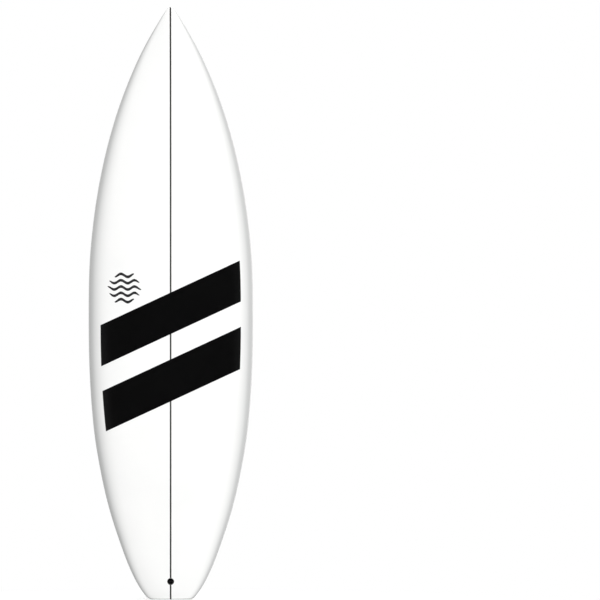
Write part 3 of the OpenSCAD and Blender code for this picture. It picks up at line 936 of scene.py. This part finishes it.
def build_fin(where):
    side = 1 if where.endswith("left") else -1
    x, z = BOXES[where]
    mirror = np.array([side, 1, 1])
    blade = add_object("fin_blade_" + where, make_mesh("fin_" + where, on_bottom(x, z, BLADE_VERTS * mirror), BLADE_FACES, BLADE_INDEX))
    tv, tf = tab_mesh()
    tab = add_object("fin_tab_" + where, make_mesh("tab_" + where, on_bottom(x, z, tv * mirror), tf, [0] * len(tf)))
    for ob in (blade, tab):
        bm = bmesh.new()
        bm.from_mesh(ob.data)
        bmesh.ops.recalc_face_normals(bm, faces=bm.faces)
        bm.to_mesh(ob.data)
        bm.free()
    mod = blade.modifiers.new("join", "BOOLEAN")
    mod.operation, mod.solver, mod.object, mod.material_mode = "UNION", "EXACT", tab, "INDEX"
    apply_all(blade)
    bpy.data.objects.remove(tab)
    sharp_by_angle(blade.data, 32)
    index = np.empty(len(blade.data.polygons), np.int32)
    blade.data.polygons.foreach_get("material_index", index)
    blade.data.materials.clear()
    blade.data.materials.append(FIN_GREY)
    blade.data.materials.append(FIN_BLACK)
    blade.data.polygons.foreach_set("material_index", index)
    blade.data.update()
    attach(blade, "fin_" + where)
    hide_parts("fin_" + where)
    return blade


for where in ("front_left", "front_right", "rear_left", "rear_right"):
    build_fin(where)


# ---------------------------------------------------------------- leash cup
def build_cup():
    profile = [(0, -20), (9.9, -20), (10.3, -19.9), (10.5, -19.5), (10.5, -0.35), (10.44, -0.05), (10.27, 0.2), (10.0, 0.34), (9.7, 0.38),
        (9.3, 0.33), (8.95, 0.14), (8.7, -0.15), (8.56, -0.6), (8.5, -1.2), (8.5, -16.6), (8.42, -17.2), (8.15, -17.65), (7.7, -17.92),
        (7.0, -18.0), (0, -18)]
    n, rings, faces = 96, [], []
    verts = [[0, 0, profile[0][1]]]
    for r, z in profile[1:-1]:
        rings.append(len(verts))
        verts += ring_xy(r, z, n).tolist()
    verts.append([0, 0, profile[-1][1]])
    last = len(verts) - 1
    for j in range(n):
        k = (j + 1) % n
        faces.append([0, rings[0] + k, rings[0] + j])
        for a, b in zip(rings, rings[1:]):
            faces.append([a + j, a + k, b + k, b + j])
        faces.append([rings[-1] + j, rings[-1] + k, last])
    ob = add_object("leash_cup_turned", make_mesh("leash_cup_turned", at_cup(verts), faces, [0] * len(faces)))
    bar = prism("bar_cutter", at_cup(ring_xy(1.56, -9.85, 40)[:, [2, 1, 0]] + [0, 0, -5.5]), at_cup(ring_xy(1.56, 9.85, 40)[:, [2, 1, 0]] + [0, 0, -5.5]))
    bm = bmesh.new()
    bm.from_mesh(ob.data)
    bmesh.ops.recalc_face_normals(bm, faces=bm.faces)
    bm.to_mesh(ob.data)
    bm.free()
    cut(ob, bar)
    sharp_by_angle(ob.data, 40)
    ob.data.polygons.foreach_set("material_index", [0] * len(ob.data.polygons))
    ob.data.materials.clear()
    ob.data.materials.append(CUP)
    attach(ob, "board")
    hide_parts("leash_cup")


build_cup()

# ---------------------------------------------------------------- finish of the CAD nodes that stay
for name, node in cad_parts.items():
    mat = (box_plastic_with_slot_shade(name[8:]) if name.startswith("fin_box") else STEEL if name.startswith("grub_screw") else SHADED_BAR_STEEL if name == "leash_bar"
        else FOAM if name.startswith("foam") else WOOD if name == "stringer" else CUP if name == "leash_cup"
        else FIN_GREY if name.startswith("fin_") else SKIN_MAT)
    if not node.material_slots:
        node.data.materials.append(mat)
    for s in node.material_slots:
        s.material = mat

# ---------------------------------------------------------------- floor, backdrop and light
CENTRE = Vector((0, 0, 0.91))


def emitter(name, strength, colour=(1, 1, 1)):
    mat = bpy.data.materials.new(name)
    mat.use_nodes = True
    nt = mat.node_tree
    nt.nodes.clear()
    out = nt.nodes.new("ShaderNodeOutputMaterial")
    em = nt.nodes.new("ShaderNodeEmission")
    em.inputs["Color"].default_value = (*colour, 1)
    em.inputs["Strength"].default_value = strength
    nt.links.new(em.outputs[0], out.inputs["Surface"])
    mat.cycles.emission_sampling = "NONE"
    return mat


def dome(name, radius, material):
    bm = bmesh.new()
    bmesh.ops.create_uvsphere(bm, u_segments=48, v_segments=24, radius=radius)
    bmesh.ops.translate(bm, verts=bm.verts, vec=CENTRE)
    mesh = bpy.data.meshes.new(name)
    bm.to_mesh(mesh)
    bm.free()
    ob = add_object(name, mesh)
    mesh.materials.append(material)
    for flag in ("visible_camera", "visible_diffuse", "visible_glossy", "visible_transmission", "visible_volume_scatter", "visible_shadow"):
        setattr(ob, flag, False)
    return ob


backdrop = dome("backdrop", 42.0, emitter("backdrop_white", 1.0))
backdrop.visible_camera = True


def mirror_room():
    """What glossy surfaces see: a bright ceiling, soft side walls, and dark straight ahead and behind."""
    mat = emitter("mirror_room", 1.0)
    nt = mat.node_tree
    em = next(n for n in nt.nodes if n.type == "EMISSION")
    unit = nt.nodes.new("ShaderNodeVectorMath")
    unit.operation = "NORMALIZE"
    nt.links.new(coordinates(nt), unit.inputs[0])
    sep = nt.nodes.new("ShaderNodeSeparateXYZ")
    nt.links.new(unit.outputs[0], sep.inputs[0])
    up = map_range(nt, sep.outputs["Z"], 0.0, 1.1, 0.18, 0.7)
    down = map_range(nt, sep.outputs["Z"], 0.4, 0.0, -0.7, -0.12)
    side = map_range(nt, math_node(nt, "ABSOLUTE", sep.outputs["X"], 0), 0.0, 0.6, 0.4, 0.9)
    # two long bright windows, high on the front and back walls
    tall = math_node(nt, "MULTIPLY", map_range(nt, sep.outputs["Z"], 0, 1, 0.40, 0.46), map_range(nt, sep.outputs["Z"], 1, 0, 0.70, 0.76))
    wide = map_range(nt, math_node(nt, "ABSOLUTE", sep.outputs["X"], 0), 1, 0, 0.42, 0.5)
    window = math_node(nt, "MULTIPLY", math_node(nt, "MULTIPLY", tall, wide), 5.0)
    total = math_node(nt, "ADD", math_node(nt, "ADD", up, down), math_node(nt, "ADD", side, 0.012))
    total = math_node(nt, "ADD", total, window)
    nt.links.new(total, em.inputs["Strength"])
    return mat


dome("mirror_room", 40.0, mirror_room()).visible_glossy = True


def floor():
    mat, nt, b = new_material("studio_floor")
    b.inputs["Base Color"].default_value = (0.93, 0.93, 0.93, 1)
    b.inputs["Roughness"].default_value = 0.9
    b.inputs["Specular IOR Level"].default_value = 0.1
    out = nt.nodes["Material Output"]
    em = nt.nodes.new("ShaderNodeEmission")
    em.inputs["Strength"].default_value = 1.0
    mix = nt.nodes.new("ShaderNodeMixShader")
    v = coordinates(nt)
    length = nt.nodes.new("ShaderNodeVectorMath")
    length.operation = "LENGTH"
    nt.links.new(v, length.inputs[0])
    fade = nt.nodes.new("ShaderNodeMapRange")
    fade.interpolation_type = "SMOOTHERSTEP"
    fade.inputs["From Min"].default_value, fade.inputs["From Max"].default_value = 0.25, 1.1
    nt.links.new(length.outputs["Value"], fade.inputs["Value"])
    nt.links.new(fade.outputs["Result"], mix.inputs["Fac"])
    nt.links.new(b.outputs[0], mix.inputs[1])
    nt.links.new(em.outputs[0], mix.inputs[2])
    nt.links.new(mix.outputs[0], out.inputs["Surface"])
    mat.cycles.emission_sampling = "NONE"
    bm = bmesh.new()
    bmesh.ops.create_circle(bm, cap_ends=True, segments=96, radius=41.0)
    bmesh.ops.translate(bm, verts=bm.verts, vec=(0, 0, -0.0006))
    mesh = bpy.data.meshes.new("floor")
    bm.to_mesh(mesh)
    bm.free()
    ob = add_object("floor", mesh)
    mesh.materials.append(mat)
    ob.visible_diffuse = False
    ob.visible_glossy = False
    return ob


floor()

world = bpy.data.worlds.new("studio")
SCENE.world = world
world.use_nodes = True
world.node_tree.nodes["Background"].inputs["Color"].default_value = (1, 1, 1, 1)
world.node_tree.nodes["Background"].inputs["Strength"].default_value = 0.5
world.cycles_visibility.glossy = False


def area(name, place, target, size, power):
    data = bpy.data.lights.new(name, "AREA")
    data.shape = "RECTANGLE"
    data.size, data.size_y = size
    data.energy = power
    ob = bpy.data.objects.new(name, data)
    SCENE.collection.objects.link(ob)
    ob.location = place
    ob.rotation_euler = (Vector(target) - Vector(place)).to_track_quat("-Z", "Y").to_euler()
    return ob


area("deck_key", (-3.9, 8.1, 2.4), (0, 0, 0.9), (3.5, 3.5), 560).visible_glossy = False
area("deck_fill", (2.6, 8.8, 0.9), (0, 0, 0.5), (3.5, 3.5), 90).visible_glossy = False
area("bottom_key", (2.7, -8.6, 2.6), (0, 0, 0.9), (3.5, 3.5), 560).visible_glossy = False
area("bottom_fill", (-2.0, -9.0, 2.2), (0, 0, 0.8), (3.5, 3.5), 65).visible_glossy = False
area("ceiling", (0, 0, 8.5), (0, 0, 0), (6.0, 6.0), 330)
